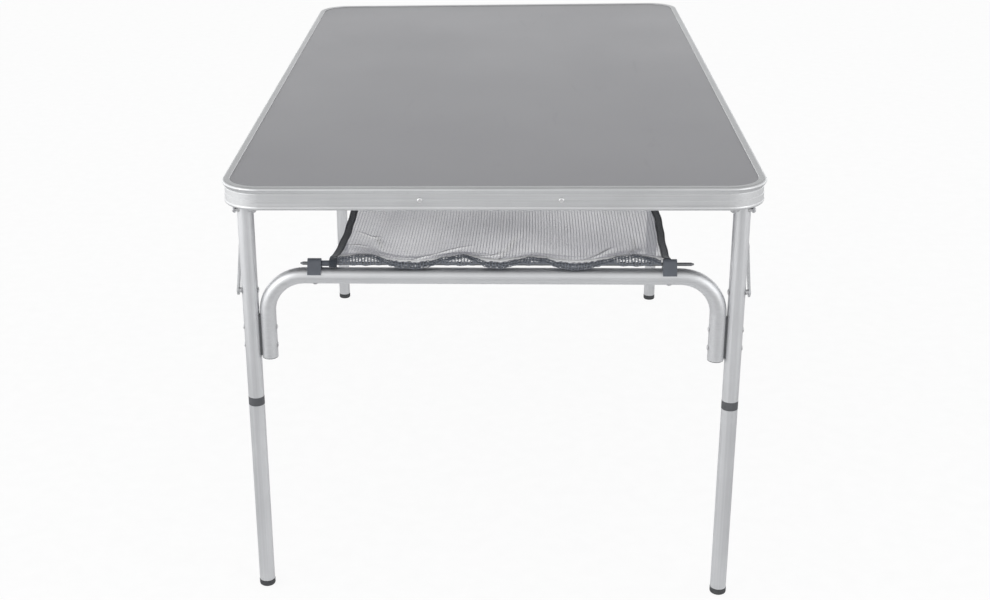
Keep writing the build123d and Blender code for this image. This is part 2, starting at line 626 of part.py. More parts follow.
# ---------------------------------------------------------------- stays
lower_link_plane = Plane(
    origin=(STAY_LOW_X[0], *RIVET_REST), x_dir=(0, *STAY_DIR), z_dir=(1, 0, 0)
)
with BuildPart() as lower_link:
    with BuildSketch(lower_link_plane):
        with Locations((LOWER_LEN / 2, 0)):
            SlotCenterToCenter(LOWER_LEN, 15)
        with Locations((0, 0), (LOWER_LEN, 0)):
            Circle(RIVET_R + FIT, mode=Mode.SUBTRACT)
    extrude(amount=STAY_LOW_X[1] - STAY_LOW_X[0])
save_both_ends("stay_lower_links", left_and_right(lower_link.part))

save_both_ends("knee_rivets", left_and_right(plain_stay_rivet(STAY_LOW_X[0] + FIT, *KNEE)))

# the upper link has a notch that takes the leg rivet's shoulder when folded
upper_link_plane = Plane(
    origin=(STAY_UP_X[0], *STAY_TOP), x_dir=(0, -STAY_DIR[0], -STAY_DIR[1]), z_dir=(1, 0, 0)
)
with BuildPart() as upper_link:
    with BuildSketch(upper_link_plane):
        with Locations((UPPER_LEN / 2, 0)):
            SlotCenterToCenter(UPPER_LEN, 16)
        with Locations((0, 0)):
            Circle(RIVET_R + FIT, mode=Mode.SUBTRACT)
        with Locations((REACH_FOLDED, 0)):
            Circle(4.7, mode=Mode.SUBTRACT)
        with Locations((REACH_FOLDED + 1.1, -6.0)):
            Rectangle(11.8, 12, mode=Mode.SUBTRACT)
    extrude(amount=STAY_UP_X[1] - STAY_UP_X[0])
save_both_ends("stay_upper_links", left_and_right(upper_link.part))

# ---------------------------------------------------------------- lower legs
# Turned outlines of the front right leg: (z, radius)
tube_low, tube_high = FOOT_H + FIT, COLLAR_BOT - FIT
LOWER_LEG = {
    "lower_tube": [
        (tube_low, TUBE_IR), (tube_low, TUBE_R), (tube_high, TUBE_R), (tube_high, TUBE_IR),
    ],
    # plug in the lower tube, collar, longer plug in the upper tube
    "connector": [
        (COLLAR_BOT - 34, 0), (COLLAR_BOT - 34, TUBE_IR - 1.2),
        (COLLAR_BOT - 32.5, TUBE_IR - FIT), (COLLAR_BOT, TUBE_IR - FIT),
        (COLLAR_BOT, TUBE_R - 0.3), (COLLAR_BOT + 0.5, TUBE_R + 0.15),
        (COLLAR_TOP - 0.5, TUBE_R + 0.15), (COLLAR_TOP, TUBE_R - 0.3),
        (COLLAR_TOP, TUBE_IR - 0.08), (COLLAR_TOP + 46, TUBE_IR - 0.08),
        (COLLAR_TOP + 49, TUBE_IR - 1.8), (COLLAR_TOP + 49, 0),
    ],
    "foot": [
        (0, 0), (0, 9.6), (0.5, 11.2), (1.6, 12.4), (3.2, 12.9), (FOOT_H - 0.8, 12.9),
        (FOOT_H, 12.5), (FOOT_H, TUBE_IR - FIT), (FOOT_H + 22, TUBE_IR - FIT),
        (FOOT_H + 24, TUBE_IR - 1.6), (FOOT_H + 24, 0),
    ],
}
for name, outline in LOWER_LEG.items():
    save_every_leg(name, along_z(outline, LEG_X, -LEG_Y))
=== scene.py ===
"""A table with a leg frame at each end and a storage net slung between two rods.

Metres, +Z up, the floor at z = 0. The table's length lies along Y, its front end at -Y and its
left side at -X. The CAD pieces get materials here. The net, its hems round the rods and the
woven tapes along its sides are modelled thread by thread.
"""
import json
import math

import bpy
import numpy as np
from mathutils import Matrix, Vector


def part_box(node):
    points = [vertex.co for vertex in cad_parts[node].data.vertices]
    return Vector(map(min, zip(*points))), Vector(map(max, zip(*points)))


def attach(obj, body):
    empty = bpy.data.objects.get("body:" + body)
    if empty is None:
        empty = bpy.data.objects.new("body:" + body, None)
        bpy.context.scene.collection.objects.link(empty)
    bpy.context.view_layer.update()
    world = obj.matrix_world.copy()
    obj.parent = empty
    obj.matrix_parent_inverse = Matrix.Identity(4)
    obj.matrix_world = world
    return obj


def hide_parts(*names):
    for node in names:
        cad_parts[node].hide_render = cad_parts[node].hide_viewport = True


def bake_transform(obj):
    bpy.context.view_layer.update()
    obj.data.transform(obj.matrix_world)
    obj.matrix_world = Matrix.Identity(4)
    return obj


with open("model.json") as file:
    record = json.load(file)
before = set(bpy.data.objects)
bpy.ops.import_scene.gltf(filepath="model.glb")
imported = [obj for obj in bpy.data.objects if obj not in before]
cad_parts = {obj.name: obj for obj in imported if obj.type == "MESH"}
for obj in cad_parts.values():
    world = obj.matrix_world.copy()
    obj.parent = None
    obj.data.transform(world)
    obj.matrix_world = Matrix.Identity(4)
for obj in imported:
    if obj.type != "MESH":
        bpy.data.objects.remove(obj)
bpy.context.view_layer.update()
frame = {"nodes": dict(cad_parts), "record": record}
nodes = frame["nodes"]
slot_of = {part["node"]: part["material_slot"] for part in frame["record"]["subparts"]}
scene = bpy.context.scene

ENDS = ((-1, "front"), (1, "rear"))           # sign along Y, and the name of that end


# ---------------------------------------------------------------- node helpers
class Nodes:
    """Builds shader nodes in a tree. Inputs may be sockets or plain values."""

    def __init__(self, tree):
        self.tree = tree

    def new(self, kind, **props):
        node = self.tree.nodes.new("ShaderNode" + kind)
        for key, value in props.items():
            setattr(node, key, value)
        return node

    def put(self, socket, value):
        if isinstance(value, bpy.types.NodeSocket):
            self.tree.links.new(value, socket)
            return
        if socket.type == "RGBA" and len(value) == 3:
            value = (*value, 1)
        socket.default_value = value

    def ramp(self, fac, to=(0.0, 1.0), over=(0.3, 0.7), **props):
        """fac over one range mapped to another. Noise mostly lies within the default range."""
        node = self.new("MapRange", **props)
        self.put(node.inputs["Value"], fac)
        for key, (start, stop) in (("From", over), ("To", to)):
            node.inputs[key + " Min"].default_value = start
            node.inputs[key + " Max"].default_value = stop
        return node.outputs["Result"]

    def math(self, op, a, b=0.0):
        node = self.new("Math", operation=op)
        self.put(node.inputs[0], a)
        self.put(node.inputs[1], b)
        return node.outputs[0]

    def add(self, a, b):
        return self.math("ADD", a, b)

    def mul(self, a, b):
        return self.math("MULTIPLY", a, b)

    def blend(self, fac, a, b):
        """Mix of two numbers."""
        node = self.new("Mix", data_type="FLOAT")
        for i, value in ((0, fac), (2, a), (3, b)):
            self.put(node.inputs[i], value)
        return node.outputs[0]

    def mix(self, fac, a, b):
        """Mix of two colours."""
        node = self.new("Mix", data_type="RGBA")
        for i, value in ((0, fac), (6, a), (7, b)):
            self.put(node.inputs[i], value)
        return node.outputs[2]

    def mix_shader(self, fac, a, b):
        node = self.new("MixShader")
        for i, value in enumerate((fac, a, b)):
            self.put(node.inputs[i], value)
        return node.outputs[0]

    def split(self, vector):
        node = self.new("SeparateXYZ")
        self.put(node.inputs[0], vector)
        return node.outputs


class Mat(Nodes):
    """A material on a Principled shader. Textures lie in object space unless told otherwise."""

    def __init__(self, name):
        self.material = bpy.data.materials.new(name)
        self.material.use_nodes = True
        super().__init__(self.material.node_tree)
        self.shader = self.tree.nodes["Principled BSDF"]
        self.coords = self.new("TexCoord")

    def coord(self, scale=(1, 1, 1), uv=False, rot=(0, 0, 0)):
        node = self.new("Mapping")
        self.put(node.inputs["Vector"], self.coords.outputs["UV" if uv else "Object"])
        node.inputs["Scale"].default_value = scale
        node.inputs["Rotation"].default_value = rot
        return node.outputs[0]

    def noise(self, scale, detail=2.0, rough=0.5, distortion=0.0, at=None):
        node = self.new("TexNoise")
        self.put(node.inputs["Vector"], at or self.coord())
        node.inputs["Scale"].default_value = scale
        node.inputs["Detail"].default_value = detail
        node.inputs["Roughness"].default_value = rough
        node.inputs["Distortion"].default_value = distortion
        return node.outputs["Fac"]

    def voronoi(self, scale):
        node = self.new("TexVoronoi", feature="F1")
        self.put(node.inputs["Vector"], self.coord())
        node.inputs["Scale"].default_value = scale
        return node.outputs["Distance"]

    def wave(self, at, scale, direction, distortion):
        node = self.new("TexWave", wave_type="BANDS", bands_direction=direction)
        self.put(node.inputs["Vector"], at)
        node.inputs["Scale"].default_value = scale
        node.inputs["Distortion"].default_value = distortion
        return node.outputs["Fac"]

    def scaled(self, colour, factor):
        """A fixed colour times a varying factor."""
        node = self.new("VectorMath", operation="SCALE")
        node.inputs[0].default_value = colour
        self.put(node.inputs["Scale"], factor)
        return node.outputs[0]

    def layers(self, first, second, share):
        """Sum of two heights, the first with the given share."""
        return self.add(self.mul(first, share), self.mul(second, 1 - share))

    def bump(self, height, strength, distance):
        node = self.new("Bump")
        node.inputs["Strength"].default_value = strength
        node.inputs["Distance"].default_value = distance
        self.put(node.inputs["Height"], height)
        return node.outputs[0]

    def edge(self, radius):
        """1 on rounded-off edges, 0 on flat faces."""
        bevel = self.new("Bevel", samples=4)
        bevel.inputs["Radius"].default_value = radius
        geometry = self.new("NewGeometry")
        dot = self.new("VectorMath", operation="DOT_PRODUCT")
        self.put(dot.inputs[0], bevel.outputs[0])
        self.put(dot.inputs[1], geometry.outputs["Normal"])
        return self.ramp(dot.outputs["Value"], to=(1.0, 0.0), over=(0.86, 0.995))

    def set(self, **inputs):
        """Sets inputs of the Principled shader, with underscores for spaces."""
        for key, value in inputs.items():
            self.put(self.shader.inputs[key.replace("_", " ")], value)


def tint(colour, gain, lift=0.0, cap=1.0):
    return tuple(min(cap, c * gain + lift) for c in colour)


# ---------------------------------------------------------------- kinds of material
def draw_lines(m, axis, across, along):
    """Coarse and fine drawing lines along an axis, from noise stretched that way."""
    scale = [across] * 3
    scale["xyz".index(axis)] = along
    return (m.noise(scale=1.0, detail=3, rough=0.6, at=m.coord(scale)),
            m.noise(scale=1.0, detail=2, rough=0.6, at=m.coord([s * 3.1 for s in scale])))


def aluminium(name, base, rough, streak, across, along=3.0, turn=None):
    """Satin tube or profile. streak is the axis of its drawing lines; past |x| = turn it is y."""
    m = Mat(name)
    lines, fine = draw_lines(m, streak, across, along)
    if turn is not None:
        x = m.math("ABSOLUTE", m.split(m.coords.outputs["Object"])["X"])
        side = m.ramp(x, over=(turn - 0.004, turn + 0.004))
        side_lines, side_fine = draw_lines(m, "y", across, along)
        lines = m.blend(side, lines, side_lines)
        fine = m.blend(side, fine, side_fine)
    cloud = m.noise(scale=9.0, detail=4, rough=0.6)
    spots = m.noise(scale=70.0, detail=3, rough=0.65)
    tone = m.add(m.ramp(lines, to=(-0.05, 0.05)), m.ramp(cloud, to=(-0.04, 0.03)))
    tone = m.add(tone, m.ramp(fine, to=(-0.02, 0.02)))
    colour = m.scaled(base, m.add(tone, 1.0))
    grime = m.ramp(spots, to=(0.0, 0.10), over=(0.62, 0.80))
    colour = m.mix(grime, colour, tint(base, gain=0.62))
    wear = m.mul(m.edge(radius=0.0012), 0.5)
    colour = m.mix(wear, colour, tint(base, gain=1.18))
    roughness = m.add(m.ramp(lines, to=(rough - 0.05, rough + 0.06)),
                      m.ramp(cloud, to=(-0.03, 0.05), over=(0.35, 0.75)))
    height = m.layers(lines, fine, share=0.7)
    m.set(Base_Color=colour, Metallic=1.0, Roughness=roughness,
          Normal=m.bump(height, strength=0.22, distance=0.00006))
    return m.material


def steel(name, base, rough, grain=900.0, spangle=0.06):
    """Metal with a cellular spangle, a fine grain and lighter edges."""
    m = Mat(name)
    cells = m.voronoi(scale=260.0)
    fine = m.noise(scale=grain, detail=3, rough=0.6)
    cloud = m.noise(scale=60.0, detail=4, rough=0.6)
    tone = m.add(m.ramp(cells, to=(1 - spangle, 1 + spangle), over=(0.0, 1.0)),
                 m.ramp(cloud, to=(-0.10, 0.06)))
    wear = m.mul(m.edge(radius=0.0006), 0.55)
    colour = m.mix(wear, m.scaled(base, tone), tint(base, gain=1.25))
    m.set(Base_Color=colour, Metallic=1.0, Roughness=m.ramp(cloud, to=(rough - 0.06, rough + 0.10)),
          Normal=m.bump(fine, strength=0.16, distance=0.00006))
    return m.material


def plastic(name, base, rough, grain=1300.0, depth=0.25, wear=0.5, spec=0.45):
    """Moulded plastic: a fine grain, cloudy tone and lighter rubbed edges."""
    m = Mat(name)
    fine = m.noise(scale=grain, detail=3, rough=0.65)
    cloud = m.noise(scale=45.0, detail=4, rough=0.6)
    pits = m.voronoi(scale=grain * 0.8)
    colour = m.mix(m.ramp(cloud, over=(0.3, 0.75)), tint(base, gain=0.86), tint(base, gain=1.16))
    rubbed = m.mul(m.edge(radius=0.0008), wear)
    colour = m.mix(rubbed, colour, tint(base, gain=1.7, lift=0.015))
    height = m.layers(fine, pits, share=0.6)
    m.set(Base_Color=colour, Roughness=m.ramp(cloud, to=(rough - 0.07, rough + 0.09)),
          Normal=m.bump(height, strength=depth, distance=0.00010), Specular_IOR_Level=spec)
    return m.material


def laminate(name, base):
    """Matt decorative laminate with a fine pressed texture and a fine speckle."""
    m = Mat(name)
    speck = m.noise(scale=1500.0, detail=2, rough=0.7)
    peel = m.noise(scale=420.0, detail=3, rough=0.6)
    cloud = m.noise(scale=3.2, detail=5, rough=0.55)
    scuff = m.noise(scale=3.0, detail=6, rough=0.75, distortion=0.6,
                    at=m.coord((14, 2.2, 1), rot=(0, 0, 0.5)))
    colour = m.mix(m.ramp(speck, over=(0.32, 0.68)), tint(base, gain=0.86), tint(base, gain=1.14))
    colour = m.mix(m.ramp(cloud, to=(0.0, 0.30), over=(0.35, 0.7)), colour, tint(base, gain=1.10))
    roughness = m.add(m.ramp(cloud, to=(0.30, 0.36)),
                      m.ramp(scuff, to=(0.0, 0.10), over=(0.60, 0.78)))
    height = m.layers(peel, speck, share=0.7)
    m.set(Base_Color=colour, Roughness=roughness, Specular_IOR_Level=0.5,
          Normal=m.bump(height, strength=0.18, distance=0.00012))
    return m.material


def yarn(name, base, painted_shade_and_light=False):
    """Thread with a fine twist and a soft sheen.

    With it set, the attribute of that name paints shade where positive and light where negative.
    """
    m = Mat(name)
    twist = m.noise(scale=2600.0, detail=2, rough=0.6)
    cloud = m.noise(scale=38.0, detail=4, rough=0.6)
    colour = m.mix(m.ramp(twist), tint(base, gain=0.78), tint(base, gain=1.25))
    colour = m.mix(m.ramp(cloud, to=(0.0, 0.35), over=(0.4, 0.75)), colour, tint(base, gain=1.25))
    if painted_shade_and_light:
        shade_and_light = m.new("Attribute", attribute_name="painted_shade_and_light").outputs["Fac"]
        # painted shadow: darker along the creases
        colour = m.mix(m.ramp(shade_and_light, over=(0.0, 1.0)), colour, tint(base, gain=0.22))
        # painted highlight: paler near the rod
        colour = m.mix(m.ramp(shade_and_light, over=(0.0, -1.0)), colour, tint(base, gain=1.75, cap=0.97))
    m.set(Base_Color=colour, Roughness=m.ramp(cloud, to=(0.56, 0.74)),
          Normal=m.bump(twist, strength=0.35, distance=0.0001),
          Sheen_Weight=0.25, Sheen_Roughness=0.45)
    return m.material


def webbing(name, base):
    """Woven tape. UV is in metres: u across the tape, v along it."""
    m = Mat(name)
    uv = m.coord(uv=True)
    ribs = m.wave(uv, scale=160.0, direction="Y", distortion=0.25)
    warp = m.wave(uv, scale=330.0, direction="X", distortion=0.2)
    fuzz = m.noise(scale=2400.0, detail=3, rough=0.7)
    cloud = m.noise(scale=30.0, detail=4, rough=0.6)
    weave = m.mul(ribs, warp)
    colour = m.mix(weave, tint(base, gain=0.62), tint(base, gain=1.30))
    colour = m.mix(m.ramp(fuzz, to=(0.0, 0.5), over=(0.45, 0.8)), colour, tint(base, gain=1.7))
    colour = m.mix(m.ramp(cloud, to=(0.0, 0.25), over=(0.45, 0.8)), colour, tint(base, gain=1.5))
    height = m.layers(weave, fuzz, share=0.75)
    m.set(Base_Color=colour, Roughness=m.ramp(fuzz, to=(0.70, 0.88)),
          Normal=m.bump(height, strength=0.8, distance=0.0004),
          Sheen_Weight=0.3, Sheen_Roughness=0.5, Specular_IOR_Level=0.3)
    return m.material


# ---------------------------------------------------------------- materials
TUBE = (0.77, 0.775, 0.785)
RECIPES = {
    "rim_aluminium": (aluminium, dict(base=(0.76, 0.765, 0.77), rough=0.40, streak="x",
                                      across=520, along=2.5, turn=0.386)),
    "tube_aluminium": (aluminium, dict(base=TUBE, rough=0.44, streak="z", across=480)),
    "bar_aluminium": (aluminium, dict(base=TUBE, rough=0.42, streak="x", across=480)),
    "rail_aluminium": (aluminium, dict(base=(0.66, 0.665, 0.67), rough=0.44, streak="y",
                                       across=600)),
    "panel_laminate": (laminate, dict(base=(0.236, 0.233, 0.245))),
    "steel_plate": (steel, dict(base=(0.58, 0.58, 0.60), rough=0.42)),
    "bracket_cast": (steel, dict(base=(0.66, 0.66, 0.68), rough=0.48, grain=700.0, spangle=0.03)),
    "stay_steel": (steel, dict(base=(0.66, 0.67, 0.68), rough=0.36)),
    "rod_steel": (steel, dict(base=(0.22, 0.225, 0.235), rough=0.40, grain=1100.0, spangle=0.02)),
    "rivet_steel": (steel, dict(base=(0.72, 0.72, 0.73), rough=0.28)),
    "rivet_alu": (steel, dict(base=(0.78, 0.78, 0.79), rough=0.30, spangle=0.03)),
    "screw_steel": (steel, dict(base=(0.86, 0.86, 0.86), rough=0.20, spangle=0.02)),
    "handle_plastic": (plastic, dict(base=(0.060, 0.064, 0.072), rough=0.55, grain=1100.0,
                                     depth=0.35)),
    "dark_plastic": (plastic, dict(base=(0.105, 0.108, 0.115), rough=0.46)),
    "clip_plastic": (plastic, dict(base=(0.112, 0.122, 0.142), rough=0.46, grain=1000.0,
                                   depth=0.4)),
    "foot_rubber": (plastic, dict(base=(0.075, 0.077, 0.080), rough=0.72, grain=1000.0,
                                  depth=0.40, wear=0.35, spec=0.3)),
    "net_mesh": (yarn, dict(base=(0.600, 0.600, 0.655), painted_shade_and_light=True)),
    "net_hem_mesh": (yarn, dict(base=(0.200, 0.216, 0.252))),
    "net_webbing": (webbing, dict(base=(0.044, 0.052, 0.064))),
}
MATERIALS = {name: make(name, **values) for name, (make, values) in RECIPES.items()}


def paint(node, material):
    mesh = nodes[node].data
    mesh.materials.clear()
    mesh.materials.append(material)
    for polygon in mesh.polygons:
        polygon.material_index = 0


for node in nodes:
    paint(node, MATERIALS[slot_of[node]])
for _, tag in ENDS:
    paint(tag + "_crossbar", MATERIALS["bar_aluminium"])      # its drawing lines run along x


# ---------------------------------------------------------------- mesh helpers
# Thread sections, in widths across the thread and thicknesses off the sheet.
DIAMOND = ((0.5, 0.0), (0.0, 0.5), (-0.5, 0.0), (0.0, -0.5))
TRIANGLE = ((0.5, -0.25), (0.0, 0.5), (-0.5, -0.25))


def unit(vectors):
    return vectors / (np.linalg.norm(vectors, axis=-1, keepdims=True) + 1e-12)


def between(low, high, share):
    return low * (1 - share) + high * share


def run_length(points):
    """Distance along a polyline at each of its points."""
    return np.concatenate([[0], np.cumsum(np.linalg.norm(np.diff(points, axis=0), axis=1))])


def resample(points, run, at):
    return np.stack([np.interp(at, run, column) for column in points.T], -1)


def add_mesh(name, verts, faces, material, uvs=None):
    """Makes an object from faces that all have the same number of corners."""
    mesh = bpy.data.meshes.new(name)
    verts = np.asarray(verts, float)
    faces = np.asarray(faces, np.int32)
    mesh.vertices.add(len(verts))
    mesh.vertices.foreach_set("co", verts.astype(np.float32).ravel())
    corners = faces.shape[1]
    mesh.loops.add(faces.size)
    mesh.loops.foreach_set("vertex_index", faces.ravel())
    mesh.polygons.add(len(faces))
    mesh.polygons.foreach_set("loop_start", np.arange(0, faces.size, corners, dtype=np.int32))
    mesh.polygons.foreach_set("loop_total", np.full(len(faces), corners, np.int32))
    if uvs is not None:
        layer = mesh.uv_layers.new(name="UVMap")
        layer.data.foreach_set("uv", np.asarray(uvs, np.float32)[faces.ravel()].ravel())
    mesh.update(calc_edges=True)
    mesh.validate()
    mesh.materials.append(material)
    obj = bpy.data.objects.new(name, mesh)
    scene.collection.objects.link(obj)
    return obj


def quads_to_tris(quads):
    return np.vstack([quads[:, [0, 1, 2]], quads[:, [0, 2, 3]]])


def tubes(paths, normals, width, thick, section):
    """Closed threads along paths (strands, points, 3). normals point off the sheet.

    Returns verts and faces: quads for a four-sided section, triangles for a three-sided one.
    """
    side = unit(np.cross(unit(np.gradient(paths, axis=1)), normals))
    up = np.cross(side, unit(np.gradient(paths, axis=1)))
    rings = np.stack([paths + side * a * width + up * b * thick for a, b in section], axis=2)
    index = np.arange(rings.size // 3).reshape(rings.shape[:3])
    here, there = index[:, :-1], index[:, 1:]
    quads = np.stack([here, there, np.roll(there, -1, axis=2), np.roll(here, -1, axis=2)], axis=-1)
    quads = quads.reshape(-1, 4)
    if len(section) == 4:
        faces = [quads, index[:, 0], index[:, -1, ::-1]]
    else:
        faces = [quads_to_tris(quads), index[:, 0], index[:, -1][:, [0, 2, 1]]]
    return rings.reshape(-1, 3), np.vstack(faces)


def join(parts):
    """Joins (verts, faces) pairs, as triangles."""
    verts, faces, base = [], [], 0
    for part_verts, part_faces in parts:
        if part_faces.shape[1] == 4:
            part_faces = quads_to_tris(part_faces)
        verts.append(part_verts)
        faces.append(part_faces + base)
        base += len(part_verts)
    return np.vstack(verts), np.vstack(faces)


def zigzag(paths, share, every=1):
    """Shifts threads to and fro, towards their neighbours, by a share of the gap."""
    rows, columns = paths.shape[:2]
    phase = (np.arange(columns)[None, :] // every + np.arange(rows)[:, None]) % 2 * 2 - 1
    return paths + np.gradient(paths, axis=0) * phase[..., None] * share


def stitch(line, i, normal, span, count, rise):
    """An arched stitch from point i of a line, over a span given in steps of the line."""
    steps = np.linspace(*span, count)[:, None]
    arch = rise * np.sin(np.linspace(0, math.pi, count))[:, None]
    path = line[i] + (line[i + 1] - line[i]) * steps + normal * arch
    return tubes(path[None], np.broadcast_to(normal, path.shape)[None],
                 width=0.0007, thick=0.0006, section=DIAMOND)


# ---------------------------------------------------------------- shape of the storage net
rod_lo, rod_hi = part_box("front_net_rod")
net_lo, net_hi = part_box("storage_net")
Y_ROD = -(rod_lo.y + rod_hi.y) / 2            # distance of each rod from the middle
Z_ROD = (rod_lo.z + rod_hi.z) / 2
X0, X1 = net_lo.x + 0.0028, net_hi.x - 0.0045      # the cloth inside its two tapes
PITCH = 0.0047                                # between neighbouring warp threads
OVER_ROD = 0.150                              # share of v on the measured part near the rod

# (x, lift) of each hem's sewn band: at 0 it hangs outboard of its rod, at 1 it lies up inboard.
LIFT = {
    -1: [(-0.240, 0.45), (-0.2264, 0.62), (-0.2081, 0.78), (-0.1884, 0.91), (-0.1678, 0.67),
         (-0.1543, 0.27), (-0.1309, 0.09), (-0.1089, 0.05), (-0.0872, 0.28), (-0.0706, 0.59),
         (-0.0466, 0.80), (-0.0367, 0.90), (-0.0215, 0.48), (-0.0049, 0.16), (0.0119, 0.08),
         (0.019, 0.09), (0.0367, 0.36), (0.0601, 0.66), (0.0815, 0.52), (0.099, 0.17),
         (0.1165, 0.04), (0.1321, 0), (0.1513, 0.17), (0.1725, 0.44), (0.1917, 0.73),
         (0.2168, 0.91), (0.236, 0.7), (0.2522, 0.35), (0.262, 0.3)],
    1: [(-0.240, 0.40), (-0.215, 0.72), (-0.19, 0.88), (-0.155, 0.52), (-0.120, 0.06),
        (-0.095, 0.08), (-0.060, 0.70), (-0.030, 0.92), (0.0, 0.55), (0.030, 0.10),
        (0.055, 0.03), (0.085, 0.22), (0.115, 0.82), (0.140, 0.88), (0.170, 0.35),
        (0.195, 0.08), (0.220, 0.38), (0.245, 0.62), (0.262, 0.4)],
}

# (outboard y, z) across the rod, with the band down and up. The band is the first two points.
DOWN = np.array([(0.6540, 0.5590), (0.6535, 0.5680), (0.6495, 0.5698), (0.6450, 0.5702),
                 (0.6380, 0.5688), (0.6250, 0.5645), (0.6050, 0.5610), (0.5800, 0.5600)])
UP = np.array([(0.6385, 0.5752), (0.6290, 0.5742), (0.6250, 0.5730), (0.6205, 0.5714),
               (0.6130, 0.5690), (0.6000, 0.5655), (0.5850, 0.5625), (0.5640, 0.5605)])

# Creases of the cloth: points (x, y), height, width.
CREASES = [
    # front end
    ([(-0.187, -0.476), (-0.180, -0.505), (-0.1687, -0.5483)], 0.0050, 0.0040),
    ([(-0.1290, -0.6048), (-0.115, -0.590), (-0.094, -0.5664), (-0.066, -0.5430),
      (-0.035, -0.530)], 0.0062, 0.0042),
    ([(-0.226, -0.468), (-0.198, -0.4811), (-0.176, -0.486)], 0.0030, 0.0035),
    ([(0.144, -0.6060), (0.1684, -0.5647), (0.190, -0.526)], 0.0042, 0.0038),
    ([(0.000, -0.6165), (0.014, -0.590), (0.033, -0.520), (0.044, -0.470)], -0.0040, 0.0060),
    ([(-0.232, -0.545), (-0.2093, -0.5344), (-0.196, -0.534)], 0.0026, 0.0032),
    ([(-0.030, -0.600), (0.000, -0.585), (0.020, -0.560)], 0.0030, 0.0040),
    ([(0.205, -0.590), (0.222, -0.545), (0.226, -0.480)], -0.0034, 0.0060),
    # rear end
    ([(0.130, 0.600), (0.100, 0.570), (0.060, 0.552)], 0.0055, 0.0042),
    ([(-0.205, 0.592), (-0.178, 0.548), (-0.170, 0.500)], 0.0042, 0.0040),
    ([(-0.060, 0.612), (-0.048, 0.560), (-0.020, 0.515)], -0.0036, 0.0055),
    ([(0.232, 0.560), (0.205, 0.535), (0.180, 0.528)], 0.0032, 0.0036),
]


def band_lift(x, end):
    """The lift of one end's band at x, smoothed along the table."""
    table_x, table_lift = np.array(LIFT[end]).T
    fine_x = np.linspace(table_x[0], table_x[-1], 400)
    kernel = np.hanning(17)
    kernel /= kernel.sum()
    padded = np.pad(np.interp(fine_x, table_x, table_lift), 8, mode="edge")
    return np.interp(x, fine_x, np.convolve(padded, kernel, mode="valid"))


def crease_sum(x, y, creases):
    """Sum at (x, y) of rounded ridges along the creases, each fading out at its ends."""
    total = np.zeros_like(x)
    for points, height, width in creases:
        points = np.array(points)
        best = np.full(x.shape, 1e9)
        fade = np.zeros_like(x)
        run = run_length(points)
        for start, step, done in zip(points[:-1], np.diff(points, axis=0), run):
            length = np.linalg.norm(step)
            t = np.clip(((x - start[0]) * step[0] + (y - start[1]) * step[1]) / length**2, 0, 1)
            away = np.hypot(x - start[0] - t * step[0], y - start[1] - t * step[1])
            share = (done + t * length) / run[-1]
            near = away < best
            best = np.where(near, away, best)
            fade = np.where(near, np.sin(np.pi * np.clip(share, 0.02, 0.98)) ** 0.6, fade)
        total += height * fade * np.exp(-(best / width) ** 2)
    return total


def crease_height(x, y):
    return crease_sum(x, y, [(points, h * 0.38, w) for points, h, w in CREASES])


def painted_crease_shade(x, y):
    """Painted shadow along each crease: darker for a higher crease, in a narrower line."""
    lines = [(points, 0.9 * min(1.0, 0.35 + abs(h) / 0.0075), 0.0021 + 0.16 * w)
             for points, h, w in CREASES]
    return np.clip(crease_sum(x, y, lines), 0, 1)


def waves(x, y):
    """Broad slack undulation of the cloth: three crossing waves, 1 to 2 mm high."""
    return (0.0022 * np.sin(17 * x + 5.0 * y + 0.6) * np.cos(6.3 * y + 2.1 * x)
            + 0.0016 * np.sin(31 * x - 11 * y + 1.7) + 0.0012 * np.sin(9 * x + 23 * y + 0.4))


def sheet_points(x, v, end):
    """Points of the net, from the band's inner edge (v 0) to the middle of the table (v 1)."""
    lift = band_lift(x, end)
    # the measured profile near the rod
    t = np.clip(v / OVER_ROD, 0, 1)
    stations = np.linspace(0, 1, len(DOWN) - 1)
    y_over, z_over = (between(np.interp(t, stations, DOWN[1:, i]),
                              np.interp(t, stations, UP[1:, i]), lift) for i in (0, 1))
    # then a slack run to the middle
    y_last, z_last = (between(DOWN[-1, i], UP[-1, i], lift) for i in (0, 1))
    run = np.clip((v - OVER_ROD) / (1 - OVER_ROD), 0, 1)
    inset = np.minimum(x - X0, X1 - x)
    slack = np.clip(inset / 0.13, 0, 1) ** 0.7              # the tapes hold the sides up
    sag = 0.0105 * np.sin(np.pi / 2 * run) ** 1.2 * (0.25 + 0.75 * slack)
    y = np.where(v < OVER_ROD, y_over, y_last * (1 - run))
    z = np.where(v < OVER_ROD, z_over, z_last - 0.0012 * np.minimum(run * 8, 1) - sag)
    # waves and creases, held down near the tapes, the waves near the band too
    away = np.clip((v - 0.02) / 0.12, 0, 1)
    away = away * away * (3 - 2 * away)
    y_end = y * end
    edge = np.clip(inset / 0.03, 0, 1)
    z = z + waves(x, y_end) * away * (0.06 + 0.94 * edge)
    z = z + crease_height(x, y_end) * (0.1 + 0.9 * edge)
    # the whole net bows sideways towards +x, less at the rear
    bow = 0.0077 * np.sin(np.clip((0.64 - np.abs(y_end)) / 0.64, 0, 1) * math.pi)
    return np.stack([x + bow * (1.0 if end < 0 else 0.3), y_end, z], -1)


RELAX_X, RELAX_V = 64, 76                     # points of the coarse cloth, across and along
RELAX_FRAMES = 24
RELAX_LIMIT = 0.009                           # no point moves further than this
PIN_BAND, PIN_MIDDLE = 0.035, 0.97            # v below and above which the cloth is pinned


